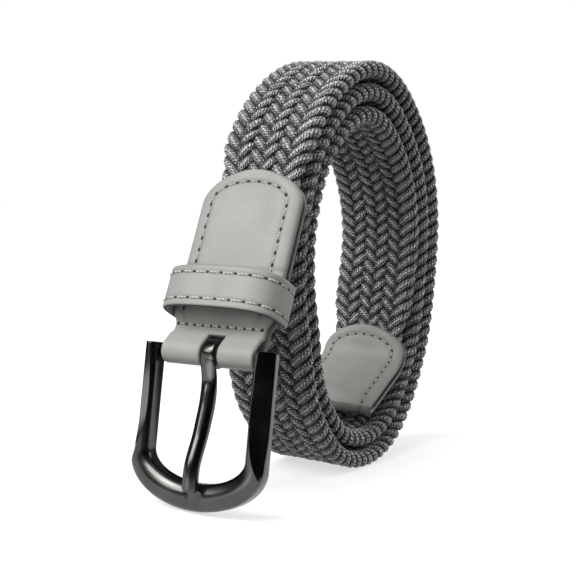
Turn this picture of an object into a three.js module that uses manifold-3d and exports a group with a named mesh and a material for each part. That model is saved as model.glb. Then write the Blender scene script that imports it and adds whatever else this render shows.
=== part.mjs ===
// A stretch belt, rolled up and standing on its lowest wrap and on the foot of its buckle.
// Millimetres. X runs across the strap, -Y is the front with the buckle, +Z is up.
// The origin is on the floor, in the middle of the patch where the coil stands.

import * as THREE from 'three';
import { mergeVertices } from 'three/addons/utils/BufferGeometryUtils.js';
import Module from 'manifold-3d';

const wasm = await Module();
wasm.setup();

// Driving dimensions
const strapWidth = 33;
const strapThickness = 6;
const sewnThickness = 3.6;      // where the strap is pressed between two plies of leather
const sewnWidth = 29.6;
const leather = 1.6;            // thickness of the tab's, the tip's and the keeper's leather
const gap = 0.35;               // between pieces that touch or turn

// The coil: its outermost wrap's middle line, as seen from the near side. Each later wrap lies
// deeper by the steps below, which it takes where it passes behind the tab.
const coilCentre = { y: -12.6, z: 67.55 };
const coilShape = [
  { angle: 0, radius: 60.7 },
  { angle: 30, radius: 64.8 },
  { angle: 60, radius: 69.7 },
  { angle: 90, radius: 74.6 },
  { angle: 120, radius: 69.8 },
  { angle: 150, radius: 61.0 },
  { angle: 180, radius: 53.8 },
  { angle: 210, radius: 48.2 },
  { angle: 240, radius: 53.3 },
  { angle: 270, radius: 63.3 },
  { angle: 300, radius: 68.7 },
  { angle: 330, radius: 64.1 },
];
const wrapSteps = [
  { from: -120, to: -190, inward: 7.8 },
  { from: -480, to: -550, inward: 7.8 },
  { from: -700, to: -743, inward: 2.0 },
];
const coilStart = 141.5;        // where the strap leaves the coil for the tab, in degrees
const coilEnd = -743;           // where its free end leaves the coil
const sideways = 0.96;          // each turn lies this far further from the near side

// The tab, measured up along the strap from the buckle's bar
const tabLength = 66.57;
const tabSideways = 2.3;        // at the bar the tab's middle lies this far towards the near side,
const tabRoll = 2.3;            // from where the tab rises this many degrees towards the far side
const sewRow = 8.6;
const strapStart = 13.5;
const tabHalfWidth = 18;
const foldHalfWidth = 16.2;
const archStart = 49.7;
const archTop = 61.3;
const plyOffset = sewnThickness / 2 + gap + leather / 2;
const edgeOffset = 1.25;        // half the distance between the two plies at their sewn edges

// The free end: it drops straight from the coil, bends forward and ends straight. The leather
// starts a little below the coil.
const tipDrop = 9.4;
const tipBelowCoil = 1.2;
const tipBendRadius = 12;
const tipBendAngle = 50;
const tipStraight = 27;
const tipArch = 11;
const tipHalfWidth = 17;

// The keeper
const keeperHeight = 13;
const keeperFoot = 11.8;
const keeperHalfWidth = tabHalfWidth + gap + leather;
const keeperFront = 12.4;
const keeperBack = plyOffset + leather / 2 + gap + leather;

// The buckle, measured from the bar's middle
const barRadius = 2.0;
const barForward = 2.5;         // the bar lies this far in front of the strap's middle
const frameLean = 6.2;          // degrees, the foot being further forward than the bar
const frameAcross = -0.6;       // the frame's middle, across from the tab's
const frameForward = 1.8;       // the frame's middle plane, forward from the bar
const frameHalfWidth = 23.0;
const frameInnerHalfWidth = 17.1;
const frameTop = 2.1;
const frameHalfDepth = 3.3;
const outerStraight = 32.8;
const outerRound = 14.0;
const innerStraight = 29.9;
const innerRound = 8.7;
const prongAcross = 0.9;        // the prong's middle, across from the tab's
const eyeRadius = 4.5;
const eyeWidth = 5.4;
const slotRadius = 6.4;

// Helpers

const rad = THREE.MathUtils.degToRad;
const smooth = (x) => THREE.MathUtils.smoothstep(x, 0, 1);

// A closed body through rings of points. A looped one joins its last ring to its first, and an
// open one is closed by a fan over each end.
function loft(rings, looped = false) {
  const count = rings[0].length;
  const points = rings.flat();
  const faces = [];
  const spans = looped ? rings.length : rings.length - 1;
  for (let i = 0; i < spans; i++) {
    const a = i * count;
    const b = ((i + 1) % rings.length) * count;
    for (let j = 0; j < count; j++) {
      const k = (j + 1) % count;
      faces.push([a + j, b + j, b + k], [a + j, b + k, a + k]);
    }
  }
  if (!looped) {
    for (const [first, turn] of [[0, 1], [(rings.length - 1) * count, -1]]) {
      const middle = new THREE.Vector3();
      for (let j = 0; j < count; j++) middle.addScaledVector(points[first + j], 1 / count);
      points.push(middle);
      for (let j = 0; j < count; j++) {
        const k = (j + 1) % count;
        faces.push(turn > 0 ? [points.length - 1, first + j, first + k]
          : [points.length - 1, first + k, first + j]);
      }
    }
  }
  let volume = 0;
  for (const [a, b, c] of faces) {
    volume += points[a].dot(new THREE.Vector3().crossVectors(points[b], points[c]));
  }
  if (volume < 0) faces.forEach((face) => face.reverse());
  const geometry = new THREE.BufferGeometry();
  geometry.setAttribute('position',
    new THREE.Float32BufferAttribute(points.flatMap((p) => [p.x, p.y, p.z]), 3));
  geometry.setIndex(faces.flat());
  return geometry;
}

function toSolid(geometry) {
  geometry.deleteAttribute('normal');
  geometry.deleteAttribute('uv');
  const merged = mergeVertices(geometry, 1e-4);
  return new wasm.Manifold(new wasm.Mesh({
    numProp: 3,
    vertProperties: new Float32Array(merged.attributes.position.array),
    triVerts: new Uint32Array(merged.index.array),
  }));
}

function fromSolid(solid) {
  const mesh = solid.getMesh();
  const geometry = new THREE.BufferGeometry();
  geometry.setAttribute('position', new THREE.Float32BufferAttribute(mesh.vertProperties, 3));
  geometry.setIndex(Array.from(mesh.triVerts));
  return geometry;
}

// A cylinder whose axis lies along X
function crossBar(radius, length, sides) {
  return new THREE.CylinderGeometry(radius, radius, length, sides).rotateZ(Math.PI / 2);
}

// The strap's path

// Radius of the outermost wrap at an angle, by a smooth curve through the table's rows
function coilRadius(angle) {
  const count = coilShape.length;
  const place = THREE.MathUtils.euclideanModulo(angle, 360) / (360 / count);
  const row = Math.floor(place);
  const t = place - row;
  const [a, b, c, d] = [-1, 0, 1, 2].map((k) => coilShape[(row + k + count) % count].radius);
  return b + 0.5 * t * (c - a + t * (2 * a - 5 * b + 4 * c - d + t * (3 * (b - c) + d - a)));
}

function coilPoint(angle) {
  const inward = wrapSteps.reduce(
    (sum, step) => sum + step.inward * smooth((step.from - angle) / (step.from - step.to)), 0);
  const radius = coilRadius(angle) - inward;
  const fromTab = tabSideways - tabLength * Math.sin(rad(tabRoll));
  return new THREE.Vector3(
    fromTab * (1 - smooth((coilStart - angle) / 60)) - sideways * (coilStart - angle) / 360,
    coilCentre.y + radius * Math.cos(rad(angle)),
    coilCentre.z + radius * Math.sin(rad(angle)));
}

// The way outward from the coil, square to the strap, for a strap that runs along the given way
const outward = (along) => new THREE.Vector3(0, -along.z, along.y).normalize();

const coilStartPoint = coilPoint(coilStart);
const tabWay = coilPoint(coilStart - 0.5).sub(coilPoint(coilStart + 0.5)).setX(0).normalize();
const tabLean = Math.atan2(tabWay.y, tabWay.z);

// Points along the strap from the bar to its free end: where, which way, and how far along
function strapPath() {
  const points = [];
  const foot = coilStartPoint.clone().addScaledVector(tabWay, -tabLength);
  for (let along = 0; along < tabLength; along += 2) {
    const point = foot.clone().addScaledVector(tabWay, along);
    point.x = tabSideways - along * Math.sin(rad(tabRoll));
    points.push(point);
  }
  for (let angle = coilStart; angle > coilEnd; angle -= 2) points.push(coilPoint(angle));
  const leave = coilPoint(coilEnd);
  const way = leave.clone().sub(coilPoint(coilEnd + 0.5)).setX(0).normalize();
  for (let along = 0; along < tipDrop - 1; along += 2) {
    points.push(leave.clone().addScaledVector(way, along));
  }
  const bendStart = leave.clone().addScaledVector(way, tipDrop);
  const inner = outward(way).negate();
  const bendCentre = bendStart.clone().addScaledVector(inner, tipBendRadius);
  for (let turn = 0; turn <= tipBendAngle; turn += tipBendAngle / 10) {
    points.push(bendCentre.clone()
      .addScaledVector(inner, -tipBendRadius * Math.cos(rad(turn)))
      .addScaledVector(way, tipBendRadius * Math.sin(rad(turn))));
  }
  const last = points[points.length - 1];
  const lastWay = last.clone().sub(points[points.length - 2]).setX(0).normalize();
  for (let along = 2; along <= tipStraight; along += 2) {
    points.push(last.clone().addScaledVector(lastWay, along));
  }
  let along = 0;
  return points.map((point, i) => {
    if (i > 0) along += point.distanceTo(points[i - 1]);
    const before = points[Math.max(i - 1, 0)];
    const after = points[Math.min(i + 1, points.length - 1)];
    return { point, along, out: outward(after.clone().sub(before)) };
  });
}

const path = strapPath();
const pathLength = path[path.length - 1].along;
const tipStart = pathLength - tipStraight - tipBendRadius * rad(tipBendAngle)
  - tipDrop + tipBelowCoil;
const tipEnd = pathLength - edgeOffset - leather / 2;

// The point at a distance along the strap, across it and outward from its middle. Below the
// floor it is pressed flat.
function onStrap(along, across, outwards) {
  let i = path.findIndex((station) => station.along > along);
  if (i < 1) i = i < 0 ? path.length - 1 : 1;
  const [a, b] = [path[i - 1], path[i]];
  const t = (along - a.along) / (b.along - a.along);
  const out = a.out.clone().lerp(b.out, t).normalize();
  const point = a.point.clone().lerp(b.point, t).addScaledVector(out, outwards);
  point.x += across;
  point.z = Math.max(point.z, 0);
  return point;
}

// Materials

const braidGrey = new THREE.MeshStandardMaterial({ color: 0x4c4d50, roughness: 0.9 });
const leatherGrey = new THREE.MeshStandardMaterial({ color: 0xb8b9b3, roughness: 0.55 });
const gunmetal = new THREE.MeshStandardMaterial({ color: 0x4a4846, roughness: 0.3, metalness: 1 });

// The woven strap

// Half of the strap's section, from its edge to its middle, as shares of its half width and thickness
const strapSection = [
  { across: 1, outwards: 0.3 },
  { across: 0.94, outwards: 0.76 },
  { across: 0.8, outwards: 1 },
];

function strapRing(along) {
  const inTab = 1 - smooth((along - archStart - 11) / 10);
  const inTip = smooth((along - tipStart + 9) / 10);
  const sewn = Math.max(inTab, inTip);
  const halfWidth = THREE.MathUtils.lerp(strapWidth, sewnWidth, sewn) / 2;
  const halfThickness = THREE.MathUtils.lerp(strapThickness, sewnThickness, sewn) / 2;
  const quarter = strapSection.map((row) => [row.across * halfWidth, row.outwards * halfThickness]);
  const mirrored = [...quarter].reverse().map(([u, w]) => [-u, w]);
  const upper = [...quarter, ...mirrored];
  const lower = [...upper].reverse().map(([u, w]) => [u, -w]);
  return [...upper, ...lower].map(([u, w]) => onStrap(along, u, w));
}

function braidedStrap() {
  const end = tipEnd - 5.3;
  const spans = 190;
  const rings = [];
  for (let i = 0; i <= spans; i++) rings.push(strapRing(strapStart + (end - strapStart) * i / spans));
  return new THREE.Mesh(loft(rings), braidGrey);
}

// Leather folded over the strap

// A folded sheet of leather. Each station has its place in the fold's profile, as a distance
// along the strap and outward from its middle, and its half width; place() puts a profile point
// and a distance across in space. Towards its edges a ply lies nearer the strap's middle.
function foldedLeather(stations, place) {
  const columns = 8;
  const rings = stations.map((station, i) => {
    const before = stations[Math.max(i - 1, 0)];
    const after = stations[Math.min(i + 1, stations.length - 1)];
    const way = new THREE.Vector2(after.along - before.along, after.out - before.out).normalize();
    const side = (share, offset) => {
      const across = station.half * share;
      const press = Math.abs(across / tabHalfWidth) ** 8;
      const edge = Math.sign(station.out) * Math.min(edgeOffset, Math.abs(station.out));
      const out = station.free ? station.out : THREE.MathUtils.lerp(station.out, edge, press);
      return place(station.along - way.y * offset, across, out + way.x * offset);
    };
    const ring = [];
    for (let j = 0; j <= columns; j++) ring.push(side(2 * j / columns - 1, leather / 2));
    for (let j = columns; j >= 0; j--) ring.push(side(2 * j / columns - 1, -leather / 2));
    return ring;
  });
  return loft(rings);
}

// One ply from its round end to its seam: distances along the strap, and half widths there
function archedPly(top, archLength, halfWidth, straightTo) {
  const stations = [];
  for (let turn = 84; turn > 0; turn -= 12) {
    stations.push({
      along: top + archLength * (Math.sin(rad(turn)) - 1),
      half: halfWidth * Math.cos(rad(turn)),
    });
  }
  const straightFrom = top - archLength;
  for (let i = 0; i <= 3; i++) {
    stations.push({ along: straightFrom + (straightTo - straightFrom) * i / 3, half: halfWidth });
  }
  return stations;
}

function tabStations() {
  const plyAt = (along) => THREE.MathUtils.lerp(edgeOffset, plyOffset, smooth((along - sewRow) / 5));
  const front = archedPly(archTop, archTop - archStart, tabHalfWidth, strapStart + 1)
    .map((station) => ({ ...station, out: plyAt(station.along) }));
  for (const along of [12.5, 11, 9.8, sewRow]) {
    const half = THREE.MathUtils.lerp(foldHalfWidth, tabHalfWidth, smooth((along - sewRow) / 5));
    front.push({ along, half, out: plyAt(along) });
  }
  const back = [...front].reverse().map((station) => ({ ...station, out: -station.out }));
  const turnRadius = barRadius + gap + leather / 2;
  const around = [];
  for (let turn = -35; turn <= 180; turn += 17.9) {
    around.push({
      along: -turnRadius * Math.sin(rad(turn)),
      out: barForward + turnRadius * Math.cos(rad(turn)),
      half: foldHalfWidth,
      free: true,
    });
  }
  const bulge = new THREE.CubicBezierCurve(
    new THREE.Vector2(sewRow, edgeOffset), new THREE.Vector2(sewRow - 1.5, edgeOffset + 0.3),
    new THREE.Vector2(around[0].along + 2.2, around[0].out - 1.3),
    new THREE.Vector2(around[0].along, around[0].out));
  const leaning = [0.25, 0.5, 0.75].map((t) => bulge.getPoint(t))
    .map((p) => ({ along: p.x, out: p.y, half: foldHalfWidth, free: true }));
  const behind = { along: sewRow / 2, out: -1.2, half: foldHalfWidth, free: true };
  return [...front, ...leaning, ...around, behind, ...back];
}

function tabLeather() {
  const sheet = foldedLeather(tabStations(), (along, across, out) => new THREE.Vector3(across, -out, along));
  const slot = crossBar(slotRadius, eyeWidth + 1, 24).translate(prongAcross, -barForward, 0);
  return new THREE.Mesh(fromSolid(toSolid(sheet).subtract(toSolid(slot))), leatherGrey);
}

function tipStations() {
  const ply = archedPly(tipArch, tipArch, tipHalfWidth, tipArch + tipStart - tipEnd)
    .map((station) => ({ ...station, along: tipStart + tipArch - station.along }));
  const middle = ply[ply.length - 1].along;
  const steps = [];
  for (let i = 0; i < ply.length - 1; i++) {
    steps.push(ply[i]);
    const parts = Math.floor((ply[i + 1].along - ply[i].along) / 3);
    for (let k = 1; k <= parts; k++) {
      const t = k / (parts + 1);
      steps.push({ along: THREE.MathUtils.lerp(ply[i].along, ply[i + 1].along, t), half: tipHalfWidth });
    }
  }
  steps.push(ply[ply.length - 1]);
  const flat = (step) => THREE.MathUtils.lerp(plyOffset, edgeOffset, smooth((step.along - middle + 5) / 5));
  const inside = steps.map((step) => ({ ...step, out: -flat(step) }));
  const nose = [-60, -30, 0, 30, 60].map((turn) => ({
    along: middle + edgeOffset * Math.cos(rad(turn)),
    out: edgeOffset * Math.sin(rad(turn)),
    half: tipHalfWidth,
    free: true,
  }));
  const outside = [...steps].reverse().map((step) => ({ ...step, out: flat(step) }));
  return [...inside, ...nose, ...outside];
}

function tipLeather() {
  return new THREE.Mesh(foldedLeather(tipStations(), onStrap), leatherGrey);
}

// The keeper: a closed band round the tab, standing off its front so that the strap fits under it

function keeperRing(share, height) {
  const turn = 2 * Math.PI * share;
  const bulge = Math.sin(turn) > 0 ? 3.2 : 6;
  const place = (halfWidth, front, back) => {
    const across = halfWidth * Math.sign(Math.cos(turn)) * Math.abs(Math.cos(turn)) ** (2 / bulge);
    const reach = Math.abs(Math.sin(turn)) ** (2 / bulge);
    return new THREE.Vector3(across, Math.sin(turn) > 0 ? -front * reach : back * reach, 0);
  };
  const outer = place(keeperHalfWidth, keeperFront, keeperBack);
  const inner = place(keeperHalfWidth - leather, keeperFront - leather, keeperBack - leather);
  return [
    outer.clone().setZ(0), outer.clone().setZ(height),
    inner.clone().setZ(height), inner.clone().setZ(0),
  ];
}

function keeperLoop() {
  const sides = 44;
  const rings = [];
  for (let i = 0; i < sides; i++) rings.push(keeperRing(i / sides, keeperHeight));
  const keeper = new THREE.Mesh(loft(rings, true), leatherGrey);
  keeper.position.z = keeperFoot;
  return keeper;
}

// The buckle. In its own frame X is across, -Y is forward and -Z runs down from the bar.

// Along the frame's arms and foot, from 0 at the far arm's top to 1 at the near arm's top: the
// points on its inner and outer outline
function frameOutline(share) {
  const armShare = 0.3;
  const arm = (t, end) => THREE.MathUtils.lerp(-frameTop, end, t);
  if (share < armShare || share > 1 - armShare) {
    const side = share < 0.5 ? -1 : 1;
    const t = Math.min(share, 1 - share) / armShare;
    return {
      inner: new THREE.Vector2(side * frameInnerHalfWidth, arm(t, innerStraight)),
      outer: new THREE.Vector2(side * frameHalfWidth, arm(t, outerStraight)),
    };
  }
  const turn = Math.PI * (share - armShare) / (1 - 2 * armShare);
  return {
    inner: new THREE.Vector2(
      -frameInnerHalfWidth * Math.cos(turn), innerStraight + innerRound * Math.sin(turn)),
    outer: new THREE.Vector2(
      -frameHalfWidth * Math.cos(turn), outerStraight + outerRound * Math.sin(turn)),
  };
}

// The frame's section there, from its inner side (0) to its outer side (1), and forward. The long
// facet on each arm's outer side runs from a ridge to the side's back; it ends in the round foot.
function frameSection(share) {
  const facetMiddle = 0.17;
  const facetHalf = 0.22;
  const fromMiddle = Math.abs(Math.min(share, 1 - share) - facetMiddle) / facetHalf;
  const facet = 1 - smooth(fromMiddle ** 2);
  const ridge = THREE.MathUtils.lerp(0.5, 0.16, facet);
  const sideTop = THREE.MathUtils.lerp(0.6, -2.0, facet);
  const round = 1 - facet;
  const depth = frameHalfDepth;
  const shoulder = (t) => {
    const flat = new THREE.Vector2(
      THREE.MathUtils.lerp(1, ridge, t), THREE.MathUtils.lerp(sideTop, depth, t));
    const curve = new THREE.Vector2(
      ridge + (1 - ridge) * Math.cos(t * Math.PI / 2),
      sideTop + (depth - sideTop) * Math.sin(t * Math.PI / 2));
    return flat.lerp(curve, round);
  };
  const innerTop = THREE.MathUtils.lerp(1.2, 2.2, facet);
  return [
    new THREE.Vector2(0, 0.3 - depth), new THREE.Vector2(0.05, -depth),
    new THREE.Vector2(0.95, -depth), new THREE.Vector2(1, 0.3 - depth),
    shoulder(0), shoulder(0.3), shoulder(0.6), shoulder(0.8), shoulder(1),
    new THREE.Vector2(ridge * 0.62, THREE.MathUtils.lerp(depth, innerTop, 0.12)),
    new THREE.Vector2(ridge * 0.2, THREE.MathUtils.lerp(depth, innerTop, 0.5)),
    new THREE.Vector2(0, innerTop),
  ];
}

function buckleFrame() {
  const stations = 56;
  const rings = [];
  for (let i = 0; i <= stations; i++) {
    const { inner, outer } = frameOutline(i / stations);
    rings.push(frameSection(i / stations).map((point) => {
      const place = inner.clone().lerp(outer, point.x);
      return new THREE.Vector3(place.x + frameAcross, -point.y - frameForward, -place.y);
    }));
  }
  const bar = crossBar(barRadius, frameInnerHalfWidth + frameHalfWidth, 20).translate(frameAcross, 0, 0);
  const notch = toSolid(prongShaft(gap));
  return new THREE.Mesh(fromSolid(toSolid(loft(rings)).add(toSolid(bar)).subtract(notch)), gunmetal);
}

// The prong's middle line and section: down from the bar, forward, half width, half thickness
const prongStations = [
  { down: 0.6, forward: 3.4, halfWidth: 2.6, halfThickness: 0.95 },
  { down: 2.6, forward: 3.1, halfWidth: 2.65, halfThickness: 1.1 },
  { down: 5.0, forward: 2.3, halfWidth: 2.65, halfThickness: 1.2 },
  { down: 8.0, forward: 1.5, halfWidth: 2.6, halfThickness: 1.5 },
  { down: 11.5, forward: 1.3, halfWidth: 2.5, halfThickness: 2.2 },
  { down: 15.5, forward: 1.6, halfWidth: 2.45, halfThickness: 2.45 },
  { down: 20.0, forward: 2.6, halfWidth: 2.45, halfThickness: 2.45 },
  { down: 24.6, forward: 3.8, halfWidth: 2.4, halfThickness: 2.4 },
  { down: 29.0, forward: 5.4, halfWidth: 2.4, halfThickness: 2.4 },
  { down: 32.8, forward: 6.6, halfWidth: 2.4, halfThickness: 2.4 },
  { down: 36.0, forward: 6.9, halfWidth: 2.4, halfThickness: 2.4 },
  { down: 39.6, forward: 6.8, halfWidth: 2.4, halfThickness: 2.4 },
  { down: 40.7, forward: 6.8, halfWidth: 2.0, halfThickness: 2.0 },
];

function prongShaft(swell) {
  const sides = 14;
  const rings = prongStations.map((station, i) => {
    const before = prongStations[Math.max(i - 1, 0)];
    const after = prongStations[Math.min(i + 1, prongStations.length - 1)];
    const way = new THREE.Vector2(after.down - before.down, after.forward - before.forward).normalize();
    const ring = [];
    for (let j = 0; j < sides; j++) {
      const turn = 2 * Math.PI * j / sides;
      const across = (station.halfWidth + swell) * Math.cos(turn);
      const thick = (station.halfThickness + swell) * Math.sin(turn);
      ring.push(new THREE.Vector3(across + prongAcross,
        -(station.forward + way.x * thick), -(station.down - way.y * thick)));
    }
    return ring;
  });
  return loft(rings);
}

function buckleProng() {
  const inner = barRadius + gap;
  const sides = 24;
  const rings = [];
  for (let i = 0; i < sides; i++) {
    const turn = 2 * Math.PI * i / sides;
    const at = (radius, across) => new THREE.Vector3(
      across + prongAcross, radius * Math.cos(turn), radius * Math.sin(turn));
    const half = eyeWidth / 2;
    rings.push([
      at(inner, -half), at(eyeRadius - 0.5, -half), at(eyeRadius, 0.5 - half),
      at(eyeRadius, half - 0.5), at(eyeRadius - 0.5, half), at(inner, half),
    ]);
  }
  const clear = crossBar(inner, eyeWidth + 2, 24).translate(prongAcross, 0, 0);
  const eye = toSolid(loft(rings, true));
  const shaft = toSolid(prongShaft(0)).subtract(toSolid(clear));
  return new THREE.Mesh(fromSolid(eye.add(shaft)), gunmetal);
}

// Assembly

function named(name, mesh) {
  mesh.name = name;
  return mesh;
}

const belt = new THREE.Group();
belt.add(named('braided_strap', braidedStrap()));
belt.add(named('tip_leather', tipLeather()));

const tab = new THREE.Group();
tab.position.copy(path[0].point);
tab.rotation.set(-tabLean, -rad(tabRoll), 0);
tab.add(named('tab_leather', tabLeather()));
tab.add(named('keeper_loop', keeperLoop()));
belt.add(tab);

const buckle = new THREE.Group();
buckle.position.y = -barForward;
buckle.rotation.x = tabLean - rad(frameLean);
buckle.add(named('buckle_frame', buckleFrame()));
buckle.add(named('buckle_prong', buckleProng()));
tab.add(buckle);

export default belt;
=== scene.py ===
import math

import bpy
import numpy as np
from mathutils import Matrix


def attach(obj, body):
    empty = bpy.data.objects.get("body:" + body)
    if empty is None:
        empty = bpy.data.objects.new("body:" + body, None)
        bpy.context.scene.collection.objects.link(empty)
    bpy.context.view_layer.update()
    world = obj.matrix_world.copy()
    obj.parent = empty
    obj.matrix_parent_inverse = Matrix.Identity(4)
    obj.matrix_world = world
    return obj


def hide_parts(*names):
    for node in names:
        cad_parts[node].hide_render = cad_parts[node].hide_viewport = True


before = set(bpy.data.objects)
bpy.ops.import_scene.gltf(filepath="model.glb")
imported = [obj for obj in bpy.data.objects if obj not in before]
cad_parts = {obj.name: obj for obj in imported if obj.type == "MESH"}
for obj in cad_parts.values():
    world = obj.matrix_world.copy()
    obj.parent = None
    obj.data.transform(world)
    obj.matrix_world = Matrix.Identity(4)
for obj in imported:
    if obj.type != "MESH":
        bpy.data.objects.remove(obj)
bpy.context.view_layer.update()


# The camera stands low in front of the belt and to its right, and looks slightly down at it. Its
# place is in millimetres, like all sizes of the belt. The floor and the light are in metres.
MM = 0.001
CAMERA_PLACE = (184.75, -371.29, 89.69)
CAMERA_RIGHT = (0.8674, 0.4928, 0.0693)
CAMERA_UP = (-0.0922, 0.0223, 0.9955)
CAMERA_BACK = (0.4891, -0.8698, 0.0648)

camera = bpy.data.objects.new("camera", bpy.data.cameras.new("camera"))
camera.data.lens, camera.data.sensor_width = 70.14, 36
camera.data.clip_start = 0.01
camera_axes = np.eye(4)
for column, axis in enumerate((CAMERA_RIGHT, CAMERA_UP, CAMERA_BACK)):
    camera_axes[:3, column] = axis
camera_turn = Matrix(camera_axes.tolist()).to_quaternion().to_matrix().to_4x4()
camera.matrix_world = Matrix.Translation([x * MM for x in CAMERA_PLACE]) @ camera_turn
bpy.context.scene.collection.objects.link(camera)
bpy.context.scene.camera = camera
bpy.context.scene.view_settings.view_transform = "Standard"


# The floor is a white table top without an end in sight, lit as brightly as the white behind it,
# so that only the belt's own shadow shows where one stops and the other starts.
def add_piece(name, mesh, *materials):
    """The mesh as an object at the origin, unturned and unscaled, with its materials."""
    piece = bpy.data.objects.new(name, mesh)
    bpy.context.scene.collection.objects.link(piece)
    for material in materials:
        mesh.materials.append(material)
    return piece


def flat_mesh(name, corners):
    """A mesh of one flat face with the corners given, in metres."""
    mesh = bpy.data.meshes.new(name)
    mesh.from_pydata(corners, [], [tuple(range(len(corners)))])
    return mesh


def plain_finish(name, colour, roughness, specular=0.5, metallic=0.0):
    """A material with its node tree and Principled shader, set to plain values to start from."""
    material = bpy.data.materials.new(name)
    material.use_nodes = True
    tree = material.node_tree
    shader = tree.nodes["Principled BSDF"]
    shader.inputs["Base Color"].default_value = (*colour, 1)
    shader.inputs["Roughness"].default_value = roughness
    shader.inputs["Specular IOR Level"].default_value = specular
    shader.inputs["Metallic"].default_value = metallic
    return material, tree, shader


def glowing_finish(name, tone, roughness, strength):
    """A matt white that also shines by itself."""
    material, _, shader = plain_finish(name, (tone, tone, tone), roughness, 0.0)
    shader.inputs["Emission Color"].default_value = (1, 1, 1, 1)
    shader.inputs["Emission Strength"].default_value = strength
    return material


FLOOR_HALF, FLOOR_LEVEL = 6.0, -0.0002
floor_corners = [(x * FLOOR_HALF, y * FLOOR_HALF, FLOOR_LEVEL)
                 for x, y in ((-1, -1), (1, -1), (1, 1), (-1, 1))]
floor = add_piece("floor", flat_mesh("floor", floor_corners),
                  glowing_finish("floor_white", 0.52, 0.6, 0.62))
floor.visible_diffuse = False


# The light is a white room with soft windows. Matt surfaces see a half bright room and polished
# metal a dim one, where only the windows, two dark cards and a light strip on the floor stand out.
def add_lamp(name, kind, place, aim, energy):
    """A lamp at a place that faces a point. Its axes are the way back from the point, the level
    way square to that, and their cross product."""
    lamp = bpy.data.lights.new(name, kind)
    lamp.energy = energy
    back = np.subtract(place, aim)
    back = back / np.linalg.norm(back)
    level = np.cross((0, 0, 1), back)
    level = level / np.linalg.norm(level)
    axes = np.eye(4)
    axes[:3, 0], axes[:3, 1], axes[:3, 2] = level, np.cross(back, level), back
    holder = bpy.data.objects.new(name, lamp)
    holder.matrix_world = Matrix.Translation(place) @ Matrix(axes.tolist())
    bpy.context.scene.collection.objects.link(holder)
    return lamp


def fill(tree, node, inputs):
    """Gives a node's inputs, by name or number, their values or another node's outputs."""
    for name, value in inputs.items():
        if isinstance(value, bpy.types.NodeSocket):
            tree.links.new(value, node.inputs[name])
        else:
            node.inputs[name].default_value = value
    return node


def add_node(tree, kind, inputs):
    """A new node with its inputs filled."""
    return fill(tree, tree.nodes.new(kind), inputs)


def room_walls(colour, strength):
    """An even light from all sides, of a colour and a strength."""
    return add_node(room, "ShaderNodeBackground",
                    {"Color": (*colour, 1), "Strength": strength}).outputs[0]


def reflected_card(name, corners, finish):
    """A flat card that only reflections see."""
    card = add_piece(name, flat_mesh(name, corners), finish)
    card.visible_camera = card.visible_diffuse = card.visible_shadow = False


ROOM_FOR_MATT, ROOM_FOR_METAL = 0.38, 0.09
world = bpy.data.worlds.new("white_room")
bpy.context.scene.world = world
world.use_nodes = True
room = world.node_tree
room.nodes.clear()
ray = room.nodes.new("ShaderNodeLightPath").outputs
lit = add_node(room, "ShaderNodeMixShader", {
    0: ray["Is Glossy Ray"], 1: room_walls((1, 1, 1), ROOM_FOR_MATT),
    2: room_walls((1, 0.99, 0.98), ROOM_FOR_METAL)})
seen = add_node(room, "ShaderNodeMixShader", {
    0: ray["Is Camera Ray"], 1: lit.outputs[0], 2: room_walls((1, 1, 1), 1.0)})
add_node(room, "ShaderNodeOutputWorld", {"Surface": seen.outputs[0]})

BELT_MIDDLE = (0, -0.03, 0.06)
sky = add_lamp("sky_window", "SUN", (-0.14, -0.64, 0.75), (0, 0, 0), 2.6)
sky.angle = math.radians(38)
for name, place, width, height, power in (
        ("window_left", (-0.45, -0.80, 0.60), 0.24, 0.6, 4.0),
        ("window_back", (0.55, 0.85, 0.55), 0.4, 0.5, 3.5),
        ("window_top", (0.05, -0.05, 1.0), 0.5, 0.5, 0.6)):
    window = add_lamp(name, "AREA", place, BELT_MIDDLE, power)
    window.shape, window.size, window.size_y = "RECTANGLE", width, height

CARD_TOP, STRIP_LEVEL = 0.45, 0.001
card_black = plain_finish("card_black", (0.008, 0.008, 0.008), 0.9, 0)[0]
for name, foot, top, front, behind in (("dark_card_right", 0.09, 0.42, -0.72, -0.03),
                                       ("dark_card_left", -0.10, -0.50, -0.06, 0.55)):
    reflected_card(name, [(foot, front, 0), (foot, behind, 0),
                          (top, behind, CARD_TOP), (top, front, CARD_TOP)], card_black)
reflected_card("light_strip", [(x, y, STRIP_LEVEL) for x, y in (
    (-0.05, -0.55), (0.02, -0.55), (0.02, -0.15), (-0.05, -0.15))],
    glowing_finish("strip_white", 0.5, 1.0, 2.6))


# The leather tab is one strip of grey finished leather, folded round the buckle's bar and sewn to
# the strap's two faces with a stitched border. Its free end is arched, and a slot in the fold lets
# the prong through.
LEATHER = 1.6
COIL_CENTRE = (-12.6, 67.55)
COIL_RADII = np.array([60.7, 64.8, 69.7, 74.6, 69.8, 61.0, 53.8, 48.2, 53.3, 63.3, 68.7, 64.1])
WRAP_STEPS = ((-120, -190, 7.8), (-480, -550, 7.8), (-700, -743, 2.0))
COIL_START, COIL_END, SIDEWAYS = 141.5, -743.0, 0.96
TAB_LENGTH, TAB_SIDEWAYS, TAB_ROLL = 66.57, 2.3, math.radians(2.3)
TAB_HALF, FOLD_HALF, ARCH_START, ARCH_LENGTH = 18.0, 16.2, 49.7, 11.6
PLY_OUT, EDGE_OUT, SEW_ROW = 2.95, 1.25, 8.6
SLOT_SIDES, SLOT_REACH = (-2.3, 4.1), 6.4
FOLD_CENTRE, FOLD_RADIUS = 2.5, 3.15
STITCH_INSET, STITCH_GROOVE, STITCH_DIP = 4.4, 0.8, 0.28
CREASE_AT, CREASE_BOW, CREASE_DIP = 27.0, 0.0035, 0.16


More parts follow.
